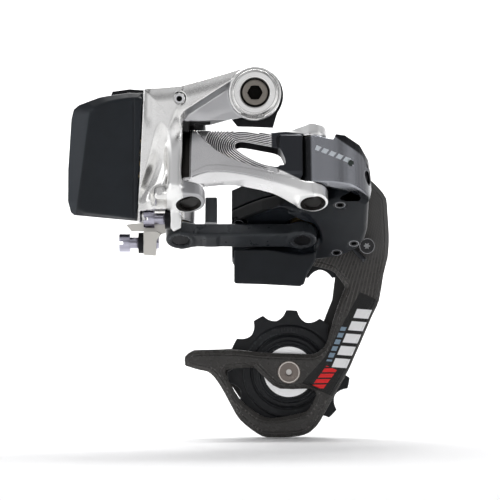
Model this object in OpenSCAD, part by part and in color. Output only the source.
// Rear derailleur, wireless electric, short cage. Millimetres.
// Origin: centre of the hanger bolt at the hanger's outboard face.
// +X points forward, +Y points inboard towards the wheel, +Z points up.

/* [Linkage] */
// Slant of the four link pins from vertical
slant_angle = 35; // [34:0.5:36]
// Distance between the two pins of either link
link_length = 42.5; // [42:0.25:43]
// Radius of the link pins
pin_r = 3; // [2.8:0.1:3]

/* [Hanger] */
// Radius of the hanger bolt's thread
hanger_thread_r = 5; // [4.8:0.1:5]
// Length of the hanger bolt's thread
hanger_thread_length = 9; // [8:0.5:12]

/* [Cage] */
// Outboard face of the outer cage plate
cage_y = 18; // [17.8:0.1:18.2]
// Thickness of the outer cage plate
outer_plate_t = 2.5; // [2.2:0.1:2.6]
// Thickness of the inner cage plate
inner_plate_t = 2; // [1.6:0.1:2.4]
// Clear space between the cage plates
chain_space = 11; // [10.5:0.5:11.5]

/* [Pulleys] */
// Teeth on each pulley
pulley_teeth = 11; // [11:1:12]
// Radius over the tips of a pulley's teeth
pulley_tip_r = 22; // [21.5:0.1:22]
// Width of a pulley's teeth
pulley_tooth_w = 2.2; // [1.8:0.1:2.4]

/* [Hidden] */
$fn = 64;
eps = 0.1;
hull_fn = 32;

// Link pins, as places in the plane square to them: [forward, inboard and down]
link_origin = [-22.7, -24, -38];
pin_a = [0, 0];
pin_b = [-3.3, 22.5];
pin_d = [link_length, 0];
pin_c = [link_length - 3.3, 22.5];
swing_out = 21;
swing_in = 40;
swing_steps = [for (i = [0:8]) -swing_out + i * (swing_in + swing_out) / 8];
run_gap = 0.05;
bush_r = 4.2;

// Places in side view: [forward, up]
cage_pivot = [30, -47];
guide_axis = [23.5, -42.5];
tension_axis = [12.2, -97.6];
stop_screw = [39.8, -52.6];

// Depths across the cage
cage_gap_y = cage_y + outer_plate_t;
inner_plate_y = cage_gap_y + chain_space;
cage_back_y = inner_plate_y + inner_plate_t;
pulley_y = cage_gap_y + chain_space / 2;

silver = [0.82, 0.82, 0.83];
dark_grey = [0.25, 0.26, 0.28];
blue_black = [0.13, 0.15, 0.17];
carbon = [0.22, 0.21, 0.2];
steel = [0.6, 0.6, 0.66];
bronze = [0.62, 0.5, 0.3];
black = [0.06, 0.06, 0.07];

// ---- Placing helpers ----

// An outline drawn in side view and given depth from y0 to y1
module side(y0, y1) {
    translate([0, y1, 0]) rotate([90, 0, 0]) linear_extrude(y1 - y0) children();
}

// A shape drawn in the linkage's own frame, whose Z runs along the pins
module slanted() {
    translate(link_origin) rotate([-slant_angle, 0, 0]) children();
}

module rod_y(r, y0, y1, at = [0, 0]) {
    translate([at[0], y1, at[1]]) rotate([90, 0, 0]) cylinder(r = r, h = y1 - y0);
}

module tube_y(r, bore, y0, y1, at = [0, 0]) {
    difference() {
        rod_y(r, y0, y1, at);
        rod_y(bore, y0 - eps, y1 + eps, at);
    }
}

module rod_x(r, x0, x1, y, z) {
    translate([x0, y, z]) rotate([0, 90, 0]) cylinder(r = r, h = x1 - x0);
}

module rod_p(r, z0, z1, at) {
    translate([at[0], at[1], z0]) cylinder(r = r, h = z1 - z0);
}

module tube_p(r, bore, z0, z1, at) {
    difference() {
        rod_p(r, z0, z1, at);
        rod_p(bore, z0 - eps, z1 + eps, at);
    }
}

module block(low, high) {
    translate(low) cube(high - low);
}

// A coil spring along Z from the origin, swept by a round wire
module coil(r, wire_r, turns, height, sides = 6, steps = 16) {
    count = ceil(turns * steps);
    ring = [for (i = [0:count]) let (a = 360 * turns * i / count)
        for (j = [0:sides - 1]) let (b = 360 * j / sides)
            [(r + wire_r * cos(b)) * cos(a), (r + wire_r * cos(b)) * sin(a),
             wire_r * sin(b) + height * i / count]];
    wall = [for (i = [0:count - 1]) for (j = [0:sides - 1]) let (k = (j + 1) % sides)
        [i * sides + j, i * sides + k, (i + 1) * sides + k, (i + 1) * sides + j]];
    first = [for (j = [0:sides - 1]) sides - 1 - j];
    last = [for (j = [0:sides - 1]) count * sides + j];
    polyhedron(ring, concat([first], wall, [last]));
}

// Involute gear outline with its first tooth on +X
function involute(a) = tan(a) * 180 / PI - a;
function tooth_half(n, module_mm, r) =
    let (pitch_r = n * module_mm / 2, base_r = pitch_r * cos(20))
    90 / n + involute(20) - (r > base_r ? involute(acos(base_r / r)) : 0)
    - gear_backlash / pitch_r * 180 / PI;
gear_backlash = 0.07;
gear_module = 0.6;

module gear_outline(n) {
    pitch_r = n * gear_module / 2;
    root_r = pitch_r - 1.3 * gear_module;
    tip_r = pitch_r + 0.85 * gear_module;
    flank = [for (t = [0:4]) root_r + (tip_r - root_r) * t / 4];
    polygon([for (i = [0:n - 1]) each concat(
        [for (r = flank) let (a = 360 * i / n - tooth_half(n, gear_module, r)) [r * cos(a), r * sin(a)]],
        [for (t = [4:-1:0]) let (r = flank[t], a = 360 * i / n + tooth_half(n, gear_module, r))
            [r * cos(a), r * sin(a)]])]);
}

// ---- Hanger pivot ----

bolt_flange_r = 7.9;
bolt_flange_y = [-22, -19.5];
shoulder_r = 6;
boss_r = 9;
boss_y = [-19.5, -3.4];
bush_flange_t = 0.8;

module hanger_bolt() color(steel) difference() {
    rotate([-90, 0, 0]) rotate_extrude() polygon([
        [0, bolt_flange_y[0]], [bolt_flange_r - 0.6, bolt_flange_y[0]],
        [bolt_flange_r, bolt_flange_y[0] + 0.6], [bolt_flange_r, bolt_flange_y[1]],
        [shoulder_r, bolt_flange_y[1]], [shoulder_r, 0], [hanger_thread_r, 0],
        [hanger_thread_r, hanger_thread_length - 0.8],
        [hanger_thread_r - 0.8, hanger_thread_length], [0, hanger_thread_length]]);
    tube_y(5.3, 4.6, -23, -20.8);
    rod_y(5, -23, -21.6);
    translate([0, -16.5, 0]) rotate([90, 0, 0]) cylinder(r = 2.9, h = 6, $fn = 6);
}

// Plate on the hanger that the adjusting screw bears on, with its claw
module stop_plate() color(black) difference() {
    union() {
        side(-3, 0) union() {
            circle(r = 9.9);
            polygon([[9.9, 0], [7.4, -7.5], [6.3, -11.3], [-6.2, -10.8], [-8, -8.5], [-9.9, 0]]);
            translate([-10.5, -8]) square([4, 6]);
        }
        block([-6, -0.5, -10.8], [-2, 4, -8]);
    }
    rod_y(shoulder_r + run_gap, -4, 1);
}

module wave_washer() color(steel) tube_y(8.4, 6.1, -3.4, -3);

module pivot_bushes() color(bronze) difference() {
    union() {
        rod_y(7.6, boss_y[0], boss_y[0] + bush_flange_t);
        rod_y(7.2, boss_y[0], -13);
        rod_y(7.2, -9, boss_y[1]);
    }
    rod_y(shoulder_r + run_gap, -20, -3);
}

// ---- Upper knuckle ----

knuckle_outline = [
    [-5.1, 8.2], [-15.4, 5.1], [-25.7, 2.3], [-32.6, 1.5], [-37.4, 1.3], [-38.1, 0.6],
    [-39.1, -19.6], [-40.2, -44.4], [-37.6, -44.4], [-37.4, -40], [-30.6, -38.6], [-29, -36],
    [-25.4, -30], [-25.2, -20], [-24.7, -9.3], [-17.2, -11], [-14.8, -10.7], [-8.6, -9], [-3, -8]];
ear_r = 5.6;
lower_ear = [0, 5];
upper_ear = [28, 33];
bush_lug = [5.8, 20];
latch_axis = [-35.4, -1.3];
dock_low = [-42, -17, -38];
dock_high = [-35.2, -8, -6];
limit_high_z = -43.3;
limit_low_z = -51.6;
limit_y = -18;
screw_r = 1.95;
b_screw_y = -1.7;
b_screw_z = -5;

module b_knuckle_body() color(silver) difference() {
    union() {
        rod_y(boss_r, boss_y[0], boss_y[1]);
        side(-19, -12) polygon(knuckle_outline);
        side(-21, -4) polygon([
            [-25, 2], [-32.6, 1.5], [-37.4, 1.3], [-38.1, 0.6], [-39.1, -19.6], [-40.2, -44.4],
            [-37.6, -44.4], [-37.4, -40], [-30.8, -38.6], [-30.8, -14], [-27, -6]]);
        // Front strip down to the lower ear, proud of the link's barrel
        slanted() translate([-7.5, -8.4, 2]) cube([5.2, 4, 26]);
        slanted() rod_p(ear_r, lower_ear[0], lower_ear[1], pin_a);
        slanted() rod_p(ear_r, upper_ear[0], upper_ear[1], pin_a);
        slanted() translate([-12, -4, lower_ear[0]]) cube([12, 8, 5]);
        block([-32, -16, -17], [-21, -4, -8.5]);
        // Arm to the inner link's rear pin
        slanted() rod_p(5, bush_lug[0], bush_lug[1], pin_b);
        slanted() translate([-14, 12, bush_lug[0]]) cube([10, 14, 14.2]);
        // Nut lug for the upper limit screw
        block([-29, -22, -47.6], [-25.2, -14, -38]);
        // Seat for the stop plate's adjusting screw
        rod_x(3.4, -31, -14, b_screw_y - 1.6, b_screw_z);
    }
    // Room for the outer link's barrel and plate
    slanted() rod_p(5.4, lower_ear[1], upper_ear[0], pin_a);
    slanted() translate([0, -14, lower_ear[1]]) cube([26, 19.4, 23]);
    slanted() rotate(swing_in) translate([0, -6, lower_ear[1]]) cube([26, 11.4, 23]);
    slanted() translate([-2.2, -12, lower_ear[1]]) cube([12, 12, 20]);
    // Room for the inner link's rear boss, under the lug
    slanted() rod_p(5.4, -1, bush_lug[0], pin_b);
    slanted() rod_p(pin_r, -1, 34, pin_a);
    slanted() rod_p(bush_r, -1, 21, pin_b);
    rod_y(7.2, -20, -3);
    rod_y(7.6, -20, boss_y[0] + bush_flange_t);
    rod_y(1.6, -22, -14, [-26, -2]);
    // Room for the stop plate
    rod_y(10.6, -3.2, 1);
    block([-13.5, -3.4, -14], [0, 1, -1]);
    rod_x(2.05, -34, -12, b_screw_y, b_screw_z);
    block(dock_low, dock_high);
    // Latch slot and its pin's holes
    block([-42, -16.2, -3.8], [-33, -8.8, 4]);
    rod_y(1, -18, -7, latch_axis);
    rod_x(screw_r + run_gap, -32, -25, limit_y, limit_high_z);
    rod_x(3.6, -39.4, -29, limit_y, limit_high_z);
}

module battery_dock() color(black) difference() {
    block([-38.6, -17, -38], dock_high);
    for (i = [0:3]) rod_x(0.8, -40, -37, -12.5, -16 - 4 * i);
}

module dock_contacts() color([0.85, 0.7, 0.35])
    for (i = [0:3]) rod_x(0.8, -41.4, -37, -12.5, -16 - 4 * i);

module knuckle_set_screw() color(dark_grey) difference() {
    rod_y(1.6, -18.9, -14, [-26, -2]);
    translate([-26, -17.5, -2]) rotate([90, 0, 0]) cylinder(r = 0.9, h = 3, $fn = 6);
}

module limit_screw_bracket() color([0.66, 0.65, 0.62]) difference() {
    union() {
        side(-15, -11) polygon([
            [-44.3, -45.6], [-42.6, -47.5], [-38.2, -47.5], [-38.2, -55.7], [-34, -56], [-33.7, -50.6],
            [-32.3, -48.5], [-30.9, -48.3], [-30.9, -44.6], [-38.6, -44.6], [-44, -45.2]]);
        side(-21.5, -15) polygon([
            [-38.2, -47.6], [-38.2, -55.7], [-34, -56], [-33.7, -50.6], [-32.3, -48.5],
            [-33.7, -47.6]]);
    }
    rod_x(screw_r + run_gap, -40, -32, limit_y, limit_low_z);
}

module limit_screw_collars() color(black) {
    difference() {
        rod_x(3.6, -30.9, -29, limit_y, limit_high_z);
        rod_x(screw_r + run_gap, -32, -28, limit_y, limit_high_z);
    }
    difference() {
        rod_x(3.6, -40, -38.2, limit_y, limit_low_z);
        rod_x(screw_r + run_gap, -41, -37, limit_y, limit_low_z);
    }
}

// Slotted adjusting screw along +X, its head's back face at x0
module limit_screw(x0, tip_x, z) color(steel) difference() {
    union() {
        rod_x(3.1, x0, x0 + 3.7, limit_y, z);
        rod_x(screw_r, x0 + 3.7, tip_x, limit_y, z);
    }
    block([x0 - 1, limit_y - 4, z - 0.5], [x0 + 1.4, limit_y + 4, z + 0.5]);
}

module limit_screw_high() limit_screw(-38.2, -25.6, limit_high_z);

module limit_screw_low() limit_screw(-46.6, -33, limit_low_z);

module b_adjust_screw() color(steel) difference() {
    rod_x(2, -33, -10.55, b_screw_y, b_screw_z);
    translate([-34, b_screw_y, b_screw_z]) rotate([0, 90, 0]) cylinder(r = 1.2, h = 3, $fn = 6);
}

module outer_link_rear_pin() color(dark_grey)
    slanted() rod_p(pin_r, 0.4, 32.8, pin_a);

module inner_link_rear_bush() color(bronze)
    slanted() tube_p(bush_r, pin_r + run_gap, 6, 19, pin_b);

// ---- Battery and its latch ----

battery_case_y = [-21, -4];
battery_outline = [
    [-38.6, -0.1], [-43, 0], [-49.4, -0.8], [-53.6, -1.6], [-60.5, -4.2], [-62.3, -5.8],
    [-63.1, -9], [-64.2, -26.3], [-64.3, -37.2], [-63.3, -41], [-62.2, -42], [-40.7, -44]];
battery_face = [
    [-38.6, -4], [-58.3, -8.4], [-59.8, -12], [-61.4, -30], [-61.6, -39.6], [-60.6, -40.8],
    [-40.7, -42.8]];
cap_low = [-43.2, -18, -40];
cap_high = [-41.2, -7, -4];

module battery_case() color(blue_black) difference() {
    hull() {
        side(battery_case_y[0] + 2, battery_case_y[1] - 2) polygon(battery_outline);
        side(battery_case_y[0], battery_case_y[1]) polygon(battery_face);
    }
    block([-60, -19, -40], [cap_low[0], -6, -6]);
    block(cap_low, [-38, cap_high[1], cap_high[2]]);
}

module battery_cap() color(black) difference() {
    block(cap_low, cap_high);
    for (i = [0:3]) rod_x(1.1, -42.2, -40, -12.5, -16 - 4 * i);
    for (i = [0:3]) rod_x(0.9, -44, -42, -12.5, -16 - 4 * i);
}

module battery_cell() color([0.35, 0.4, 0.5])
    block([-59.4, -18.4, -39.4], [-44.4, -6.6, -6.6]);

module battery_contacts() color([0.85, 0.7, 0.35])
    for (i = [0:3]) rod_x(0.9, -44, -42.2, -12.5, -16 - 4 * i);

module battery_latch() color(black) difference() {
    union() {
        side(-16, -9) polygon([
            [-36, 0.9], [-43.2, 1.4], [-49.1, 0.6], [-49.5, -0.5], [-43, 0.3], [-38.4, 0.2],
            [-36.5, -2]]);
        rod_y(2, -16, -9, latch_axis);
    }
    rod_y(1 + run_gap, -17, -8, latch_axis);
    block([-38, -13.7, -4], [-33, -10.9, -0.2]);
    rod_y(2.3, -13.7, -10.9, latch_axis);
}

module latch_pin() color(steel) rod_y(1, -18, -7, latch_axis);

module latch_spring() color(steel)
    translate([latch_axis[0], -13.3, latch_axis[1]]) rotate([-90, 0, 0]) coil(1.6, 0.28, 2.5, 2);

// ---- Outer link ----

link_top = [[0, 27.6], [12, 27.6], [24, 26.8], [36, 26], [39, 25.1]];
link_bottom = [[39, 8.5], [37.5, 5.4], [24, 6.2], [12, 6.7], [0, 5.4]];
link_window = [[-6, -19.3], [-2.7, -17.7], [3.3, -18.3], [8.3, -20.4], [10.6, -25.5], [7.3, -26],
    [2.3, -24.8], [-3.2, -21.4]];
front_upper_ear = [25.5, 32];

// An outline in the link's own length and height, given depth from y0 to y1
module link_side(y0, y1) {
    translate([0, y1, 0]) rotate([90, 0, 0]) linear_extrude(y1 - y0) children();
}

module outer_link_body() color(silver) difference() {
    slanted() outer_link_blank();
    side(-40, 0) polygon(link_window);
}

module outer_link_blank() difference() {
    union() {
        rod_p(5, 5.4, 27.6, pin_a);
        link_side(-5, -1) polygon(concat(link_top, link_bottom));
        link_side(-7, -4.6) polygon([[30, 24], [39, 25.1], [39, 8.5], [34, 6]]);
        link_side(-5, 3) polygon([[34, 0], [37.5, 0], [37.5, 5], [28, 8], [28, 4.8]]);
        rod_p(5.2, 0, 5, pin_d);
        link_side(-5, 3) polygon([[30, 25], [37.5, 25.5], [42, 25.5], [42, 29], [37.5, 29], [30, 26.5]]);
        rod_p(5.2, front_upper_ear[0], front_upper_ear[1], pin_d);
    }
    rod_p(5.6, 5, front_upper_ear[0], pin_d);
    rod_p(bush_r, 4, 29, pin_a);
    rod_p(pin_r, -1, 29.5, pin_d);
}

module outer_link_bushes() color(bronze) slanted() {
    tube_p(bush_r, pin_r + run_gap, 5.4, 11, pin_a);
    tube_p(bush_r, pin_r + run_gap, 22, 27.6, pin_a);
}

module outer_link_front_pin() color(dark_grey)
    slanted() rod_p(pin_r, 0.4, 29.4, pin_d);

// ---- Inner link ----

module inner_link_body() color(blue_black) slanted() difference() {
    union() {
        rod_p(5, 0, 5, pin_b);
        rod_p(5, 0, 5, pin_c);
        linear_extrude(5) polygon([
            [pin_b[0], 17.5], [2.5, 18.6], [34, 18.6], [pin_c[0], 17.5], [pin_c[0], 27.5],
            [34, 26.4], [2.5, 26.4], [pin_b[0], 27.5]]);
        // Upright that the limit screws stop
        translate([5.3, 19.5, 0]) cube([4.2, 6, 17]);
    }
    for (p = [pin_b, pin_c]) rod_p(pin_r, -1, 6, p);
}

module inner_link_rear_pin() color(dark_grey)
    slanted() rod_p(pin_r, 0.4, 19.6, pin_b);

module inner_link_front_pin() color(dark_grey)
    slanted() rod_p(pin_r, 0.4, 15.4, pin_c);

// ---- Gear train, on axes along the pins ----

output_teeth = 24;
idler_small_teeth = 10;
idler_large_teeth = 26;
pinion_teeth = 8;
motor_turn = 150;
idler_axis = [pin_c[0] - (output_teeth + idler_small_teeth) * gear_module / 2, pin_c[1]];
motor_reach = (idler_large_teeth + pinion_teeth) * gear_module / 2;
motor_axis = idler_axis + motor_reach * [cos(motor_turn), sin(motor_turn)];
idler_axle_r = 1;
motor_r = 4.4;

module output_gear() color(steel) slanted() difference() {
    translate([pin_c[0], pin_c[1], 12.2]) linear_extrude(2.8) gear_outline(output_teeth);
    rod_p(pin_r, 11, 16, pin_c);
}

module idler_axle() color(steel) slanted() rod_p(idler_axle_r, 10, 20, idler_axis);

module idler_gear() color(bronze) slanted() difference() {
    union() {
        translate([idler_axis[0], idler_axis[1], 12]) rotate(180 / idler_small_teeth)
            linear_extrude(4.2) gear_outline(idler_small_teeth);
        translate([idler_axis[0], idler_axis[1], 15.9]) rotate(motor_turn)
            linear_extrude(2.4) gear_outline(idler_large_teeth);
    }
    rod_p(idler_axle_r + run_gap, 11, 19, idler_axis);
}

module motor_pinion() color(steel) slanted() union() {
    translate([motor_axis[0], motor_axis[1], 15.9]) rotate(motor_turn + 180 + 180 / pinion_teeth)
        linear_extrude(2.4) gear_outline(pinion_teeth);
    rod_p(0.75, 13.4, 18.6, motor_axis);
}

module motor_can() color(steel) slanted() difference() {
    rod_p(motor_r, 6.8, 15, motor_axis);
    rod_p(0.8, 13.2, 16, motor_axis);
}

// ---- Lower knuckle and gearbox ----

// Housing's outline square to the pins
housing_outline = [
    [14.6, 19.5], [20, 15.5], [25.2, 12.2], [31.4, 9.8], [38, 9.4], [50, 2], [57, 0], [61.8, 3.6],
    [61.8, 20], [61, 26.5], [58.5, 31.5], [53, 36], [44.3, 38.2], [40, 44], [14.6, 44]];
shell_split = 11.6;
housing_top = 19.6;
housing_back_y = 11.3;
motor_box = [[-8.3, -54], [-8.9, -64.5], [-8, -65.7], [2.5, -66], [15.8, -66.7], [17.2, -65.9],
    [18.2, -62.7], [21, -58.2], [22, -50], [-8.3, -50]];
barrel_r = 8;
barrel_step_y = 8;
barrel_nose_r = 5.8;
barrel_nose_y = 3;
cage_axle_r = 4.5;
cage_axle_tip_r = 3.6;
cage_bush_r = 5;
cover_screw_places = [[17, 20.5], [52, 5], [57.4, 28], [51.5, 33.6], [41.9, 35]];
cover_screw_heads = [6.2, 2.8, 2.8, 2.8, 2.8];
cover_screw_lengths = [9, 12, 3, 2.2, 11];

// Room the inner link sweeps through, with its front boss
module inner_link_sweep() {
    slanted() translate([pin_c[0], pin_c[1], -0.6]) linear_extrude(6.2) union() {
        circle(r = 5.7);
        for (a = swing_steps) rotate(a) translate([-52, -4.7]) square([52, 9.4]);
    }
}

// Room the outer link sweeps through, with its two front ears
module outer_link_sweep() {
    slanted() rod_p(5.8, -3, 5.4, pin_d);
    slanted() rod_p(5.8, 25.1, 34, pin_d);
    slanted() translate([pin_d[0], pin_d[1], -3]) linear_extrude(40)
        for (a = swing_steps) rotate(a) translate([-52, -9]) square([46.6, 12.4]);
    slanted() difference() {
        translate([pin_d[0], pin_d[1], -3]) linear_extrude(40)
            for (a = swing_steps) rotate(a) translate([-8, -9]) square([4.9, 9]);
        rod_p(5.4, -4, 40, pin_d);
    }
}

module cover_screw_holes() {
    for (i = [0:4]) slanted() {
        rod_p(1.2, 0, 16, cover_screw_places[i]);
        rod_p(2.1, -4, cover_screw_heads[i] + 1.2, cover_screw_places[i]);
    }
}

// Gear and motor cavities
module gear_room() slanted() {
    rod_p(8, shell_split - eps, 15.5, pin_c);
    rod_p(4, 11.8, 16, idler_axis);
    rod_p(8.7, 15.5, 18.8, idler_axis);
    rod_p(3.4, 15.2, 18.8, motor_axis);
    rod_p(motor_r, 6.8, 15.3, motor_axis);
    rod_p(idler_axle_r, 9, 21, idler_axis);
}

// Barrel of the cage pivot, stepped down towards the gearbox cover
module cage_barrel(end_y) {
    rod_y(barrel_nose_r, barrel_nose_y, barrel_step_y + eps, cage_pivot);
    rod_y(barrel_r, barrel_step_y, end_y, cage_pivot);
}

// Curved front of the lower knuckle, with the outer link's front barrel
module knuckle_front() {
    slanted() rod_p(5.2, 5.4, 25.1, pin_d);
    intersection() {
        slanted() translate([0, 0, 5.4]) linear_extrude(24) polygon([
            [42.5, -5.2], [50, -5.2], [57, -3.5], [61.5, 1], [63.1, 8], [63.1, 16],
            [56, 16], [55, 8], [42.5, 4]]);
        side(-26, 6) polygon([
            [18, -13.6], [24.2, -15.2], [27, -15.8], [28, -13.9], [31.1, -14.3], [36.3, -17.7],
            [39.4, -22.9], [40.4, -29.1], [40.4, -33.3], [39.4, -36.7], [32.8, -34], [18, -30.7]]);
    }
}

module p_knuckle_body() color(dark_grey) difference() {
    union() {
        knuckle_front();
        intersection() {
            slanted() translate([0, 0, shell_split]) linear_extrude(8) polygon([
                [42, 0], [57, 0], [61.8, 3.6], [61.8, 20], [60.5, 26], [57, 31], [52, 34.8],
                [49, 35], [49, 20], [42, 10]]);
            block([-10, -30, -70], [45, housing_back_y, 0]);
        }
        cage_barrel(cage_y - 0.5);
        // Lug that the cage's stop screw rests on
        side(11.8, cage_y - 0.5) polygon([for (p = [[7, -50], [14.2, -46.5], [14.2, -54], [7, -60]])
            cage_pivot + p[0] * [cos(p[1]), sin(p[1])]]);
    }
    outer_link_sweep();
    inner_link_sweep();
    gear_room();
    slanted() rod_p(bush_r, 4, 26, pin_d);
    rod_y(cage_bush_r, barrel_nose_y + 0.4, 10.9, cage_pivot);
    rod_y(7, 10.8, 20, cage_pivot);
    button_room();
    cover_screw_holes();
}

module gearbox_case() color(blue_black) difference() {
    intersection() {
        slanted() translate([0, 0, shell_split]) linear_extrude(housing_top - shell_split) polygon([
            [14.6, 19.5], [20, 15.5], [25.2, 12.2], [31.4, 9.8], [42, 10], [49, 20],
            [49, 35], [44.3, 37.6], [40, 44], [14.6, 44]]);
        block([-20, -30, -70], [45, 14, 0]);
        union() {
            block([-20, -30, -70], [45, housing_back_y, 0]);
            block([-20, -30, -70], [4, 14.2, 0]);
        }
    }
    outer_link_sweep();
    gear_room();
    cage_barrel(20);
    cover_screw_holes();
}

// Space for the circuit board, with its roof along the inner link's sweep
module board_room() {
    translate([-6.6, 0, 0]) rotate([90, 0, 90]) linear_extrude(21.6)
        polygon([[-1, -56.8], [-1, -64.8], [8.4, -64.8], [8.4, -63.4]]);
}

module gearbox_cover() color(blue_black) difference() {
    union() {
        intersection() {
            slanted() translate([0, 0, 2.5]) linear_extrude(shell_split - 2.5) polygon(housing_outline);
            block([-20, -40, -70], [45, housing_back_y, 0]);
        }
        difference() {
            side(-2.5, housing_back_y) polygon(motor_box);
            slanted() translate([0, 0, 2.5]) linear_extrude(40) square([70, 60]);
            board_room();
        }
    }
    outer_link_sweep();
    inner_link_sweep();
    gear_room();
    knuckle_front();
    cage_barrel(20);
    slanted() rod_p(bush_r, 4, 12, pin_c);
    cover_screw_holes();
}

module cover_screws() color(black) for (i = [0:4]) let (p = cover_screw_places[i]) slanted()
    translate([p[0], p[1], cover_screw_heads[i]]) difference() {
        union() {
            cylinder(r = 2.1, h = 1.2);
            cylinder(r = 1.2, h = cover_screw_lengths[i]);
        }
        translate([0, 0, -1]) cylinder(r = 1, h = 1.8, $fn = 6);
    }

module circuit_board() color([0.1, 0.35, 0.2]) union() {
    block([-5.8, 0.6, -64.4], [14, 1.8, -58.8]);
    block([-3, -0.6, -63.6], [2, 0.7, -60]);
    block([5, -0.4, -63], [8.4, 0.7, -60.4]);
    block([-4, 1.7, -64.2], [9, 4.4, -61.4]);
}

module front_link_bushes() color(bronze) slanted() {
    tube_p(bush_r, pin_r + run_gap, 5.4, 11, pin_d);
    tube_p(bush_r, pin_r + run_gap, 19.5, 25.1, pin_d);
}

module inner_link_front_bush() color(bronze)
    slanted() tube_p(bush_r, pin_r + 0.15, 6.2, 11.6, pin_c);

module cage_bush() color(bronze)
    tube_y(cage_bush_r, cage_axle_r + run_gap, barrel_nose_y + 0.4, 10.8, cage_pivot);

module cage_spring() color(steel)
    translate([cage_pivot[0], 11.8, cage_pivot[1]]) rotate([-90, 0, 0]) coil(5.9, 0.6, 3.5, 4.6);

// ---- Button on the lower knuckle ----

button_turn = 52;
button_at = [37.9, -12, -29.2];
button_r = 2.5;
lens_r = 0.9;
lens_at = [33, -24];

// A shape along the button's own axis, whose +Z points out of the knuckle
module button_frame() {
    translate(button_at) rotate([0, 0, button_turn]) rotate([90, 0, 0]) children();
}

module button_room() {
    button_frame() translate([0, 0, -6]) cylinder(r = button_r + run_gap, h = 12);
    rod_y(lens_r, -24, -14, lens_at);
}

module function_button() color(black) button_frame() difference() {
    translate([0, 0, -3.6]) cylinder(r = button_r, h = 3.4);
    translate([0, 0, -4]) cylinder(r = 1.7, h = 1.6);
}

module button_spring() color(steel) button_frame()
    translate([0, 0, -5.7]) coil(1.2, 0.2, 3, 2);

module status_lens() color([0.7, 0.9, 0.75]) rod_y(lens_r, -18.6, -14, lens_at);

// ---- Cage ----

outer_plate_outline = [
    [42, -29.5], [44.5, -32], [47, -35.5], [47.5, -40.5], [48, -48.5], [47.9, -53], [47.5, -57],
    [46, -63], [44.5, -72], [42, -77.5], [34, -96], [29.5, -104], [23.5, -115], [21, -118],
    [19, -119.5], [16, -120.5], [11, -121], [5.5, -121], [2.5, -120.5], [-1.5, -118], [-5.5, -114.5],
    [-8, -110.5], [-11.5, -104], [-14.5, -99.5], [-17, -97.5], [-19.5, -97], [-24.5, -95.5],
    [-25, -94.5], [-25, -92], [-22.5, -90], [-19.5, -89.5], [-6.5, -89.5], [2.5, -90.5], [16, -91],
    [21, -91], [23.5, -89.5], [25.5, -87], [28.5, -77], [31, -70], [32, -67.5], [31.5, -66],
    [29.5, -63.5], [27.5, -61.5], [22, -60], [15, -58.5], [10, -56], [6.5, -51], [5, -44],
    [6.5, -36], [10, -30], [16, -26], [24, -24], [32, -24], [38, -26.5]];
cage_window = [
    [-10.5, -97.5], [-9, -96.5], [-1.5, -96], [0.5, -96.5], [4.5, -100.5], [9, -103.5], [18, -103.5],
    [20.5, -104], [22, -105.5], [19.5, -110.5], [17, -112], [12.5, -113], [6, -114], [2, -113],
    [-1.5, -110.5], [-5.5, -107], [-8.5, -102]];
inner_plate_outline = [
    [34, -27], [40, -33], [43, -42], [43.5, -54], [41, -70], [35, -88], [28, -103], [21, -113],
    [13, -116.5], [4, -115.5], [-3, -111], [-8, -103.5], [-14, -97.5], [-23, -95.5], [-25, -93.5],
    [-22.5, -90.5], [-6, -89.5], [2, -87], [18, -87], [24, -82], [28, -72], [29, -64], [24, -58],
    [14, -54], [7, -46], [8, -34], [16, -26.5], [26, -24.5]];
bolt_r = 2.5;
stop_head_r = 2.8;

module cage_outer_plate() color(carbon) difference() {
    side(cage_y, cage_gap_y) difference() {
        polygon(outer_plate_outline);
        polygon(cage_window);
    }
    rod_y(cage_axle_tip_r, cage_y - 1, cage_gap_y + 1, cage_pivot);
    rod_y(1.6, cage_y - 1, cage_gap_y + 1, stop_screw);
    for (p = [guide_axis, tension_axis]) {
        rod_y(bolt_r, cage_y - 1, cage_gap_y + 1, p);
        rod_y(4, cage_y - 1, cage_y + 1, p);
    }
}

module cage_inner_plate() color(carbon) difference() {
    side(inner_plate_y, cage_back_y) polygon(inner_plate_outline);
    for (p = [guide_axis, tension_axis]) rod_y(bolt_r, inner_plate_y - 1, cage_back_y + 1, p);
}

module cage_axle() color(steel) difference() {
    union() {
        rod_y(cage_axle_r, barrel_nose_y + 0.6, cage_y, cage_pivot);
        rod_y(cage_axle_tip_r, cage_y - eps, cage_gap_y, cage_pivot);
    }
    translate([cage_pivot[0], cage_gap_y + 1, cage_pivot[1]]) rotate([90, 0, 0])
        cylinder(r = 2.3, h = 4, $fn = 6);
}

module cage_stop_screw() color(black) difference() {
    union() {
        rod_y(stop_head_r, 11.9, 14.4, stop_screw);
        rod_y(2, 14.4, cage_y, stop_screw);
        rod_y(1.6, cage_y, cage_gap_y, stop_screw);
    }
    translate([stop_screw[0], 13.4, stop_screw[1]]) rotate([90, 0, 0]) cylinder(r = 1.3, h = 3, $fn = 6);
}

module pulley_bolts() color([0.5, 0.44, 0.4]) for (p = [guide_axis, tension_axis]) difference() {
    union() {
        rod_y(4, cage_y, cage_y + 1, p);
        rod_y(bolt_r, cage_y + 0.9, cage_back_y, p);
    }
    translate([p[0], cage_y + 2.6, p[1]]) rotate([90, 0, 0]) cylinder(r = 1.5, h = 4, $fn = 6);
}

module pulley_bushes() color(steel) for (p = [guide_axis, tension_axis])
    tube_y(4, bolt_r, cage_gap_y, inner_plate_y, p);

// ---- Pulleys ----

bearing_half = 3.5;
race_bore = 7;
race_r = 9;
ball_r = 1.45;
ball_circle = (race_bore + 4) / 2;
valley_r = pulley_tip_r - 3.4;
guide_turn = -90 + 180 / pulley_teeth;
tension_turn = 90 - 2.8;

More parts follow.
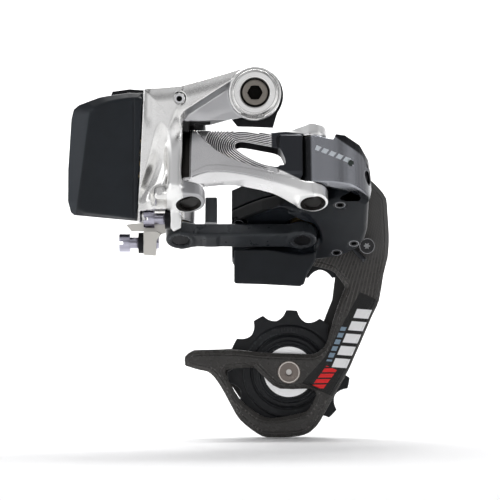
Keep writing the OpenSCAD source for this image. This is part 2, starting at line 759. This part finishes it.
// A toothed wheel about an axis along Y; turn is the angle of its first tooth
module pulley_wheel(at, turn) color(blue_black) difference() {
    union() {
        side(pulley_y - pulley_tooth_w / 2, pulley_y + pulley_tooth_w / 2) translate(at) rotate(turn)
            pulley_outline();
        rod_y(16.5, pulley_y - 2, pulley_y + 2, at);
        rod_y(11, pulley_y - 4, pulley_y + 4, at);
    }
    rod_y(race_r, pulley_y - 6, pulley_y + 6, at);
}

module pulley_outline() {
    step = 360 / pulley_teeth;
    foot = 0.33;
    tip = 0.17;
    polygon([for (i = [0:pulley_teeth - 1]) for (p = [[-foot, valley_r], [-0.22, valley_r + 1.4],
        [-tip, pulley_tip_r - 0.3], [-tip + 0.03, pulley_tip_r], [tip - 0.03, pulley_tip_r],
        [tip, pulley_tip_r - 0.3], [0.22, valley_r + 1.4], [foot, valley_r]])
            let (a = (i + p[0]) * step) p[1] * [cos(a), sin(a)]]);
}

module bearing_race(at) color(steel)
    tube_y(race_r, race_bore, pulley_y - bearing_half, pulley_y + bearing_half, at);

module bearing_balls(at) color(silver) for (i = [0:8])
    translate([at[0], pulley_y, at[1]] + ball_circle * [cos(40 * i), 0, sin(40 * i)])
        sphere(r = ball_r);

module bearing_shields(at) color(silver) {
    tube_y(race_r, 4.2, pulley_y - bearing_half - 0.5, pulley_y - bearing_half, at);
    tube_y(race_r, 4.2, pulley_y + bearing_half, pulley_y + bearing_half + 0.5, at);
}

module guide_wheel() pulley_wheel(guide_axis, guide_turn);
module guide_bearing_race() bearing_race(guide_axis);
module guide_bearing_balls() bearing_balls(guide_axis);
module guide_bearing_shields() bearing_shields(guide_axis);
module tension_wheel() pulley_wheel(tension_axis, tension_turn);
module tension_bearing_race() bearing_race(tension_axis);
module tension_bearing_balls() bearing_balls(tension_axis);
module tension_bearing_shields() bearing_shields(tension_axis);

hanger_bolt();
stop_plate();
wave_washer();
b_knuckle_body();
pivot_bushes();
battery_dock();
dock_contacts();
knuckle_set_screw();
limit_screw_bracket();
limit_screw_collars();
outer_link_rear_pin();
inner_link_rear_bush();
latch_pin();
latch_spring();
battery_latch();
battery_case();
battery_cap();
battery_cell();
battery_contacts();
b_adjust_screw();
limit_screw_high();
limit_screw_low();
outer_link_body();
outer_link_bushes();
outer_link_front_pin();
inner_link_body();
inner_link_rear_pin();
inner_link_front_pin();
output_gear();
p_knuckle_body();
gearbox_case();
gearbox_cover();
cover_screws();
motor_can();
circuit_board();
front_link_bushes();
inner_link_front_bush();
cage_bush();
cage_spring();
idler_axle();
idler_gear();
motor_pinion();
function_button();
button_spring();
status_lens();
cage_outer_plate();
cage_inner_plate();
cage_axle();
cage_stop_screw();
pulley_bolts();
pulley_bushes();
guide_wheel();
guide_bearing_race();
guide_bearing_balls();
guide_bearing_shields();
tension_wheel();
tension_bearing_race();
tension_bearing_balls();
tension_bearing_shields();
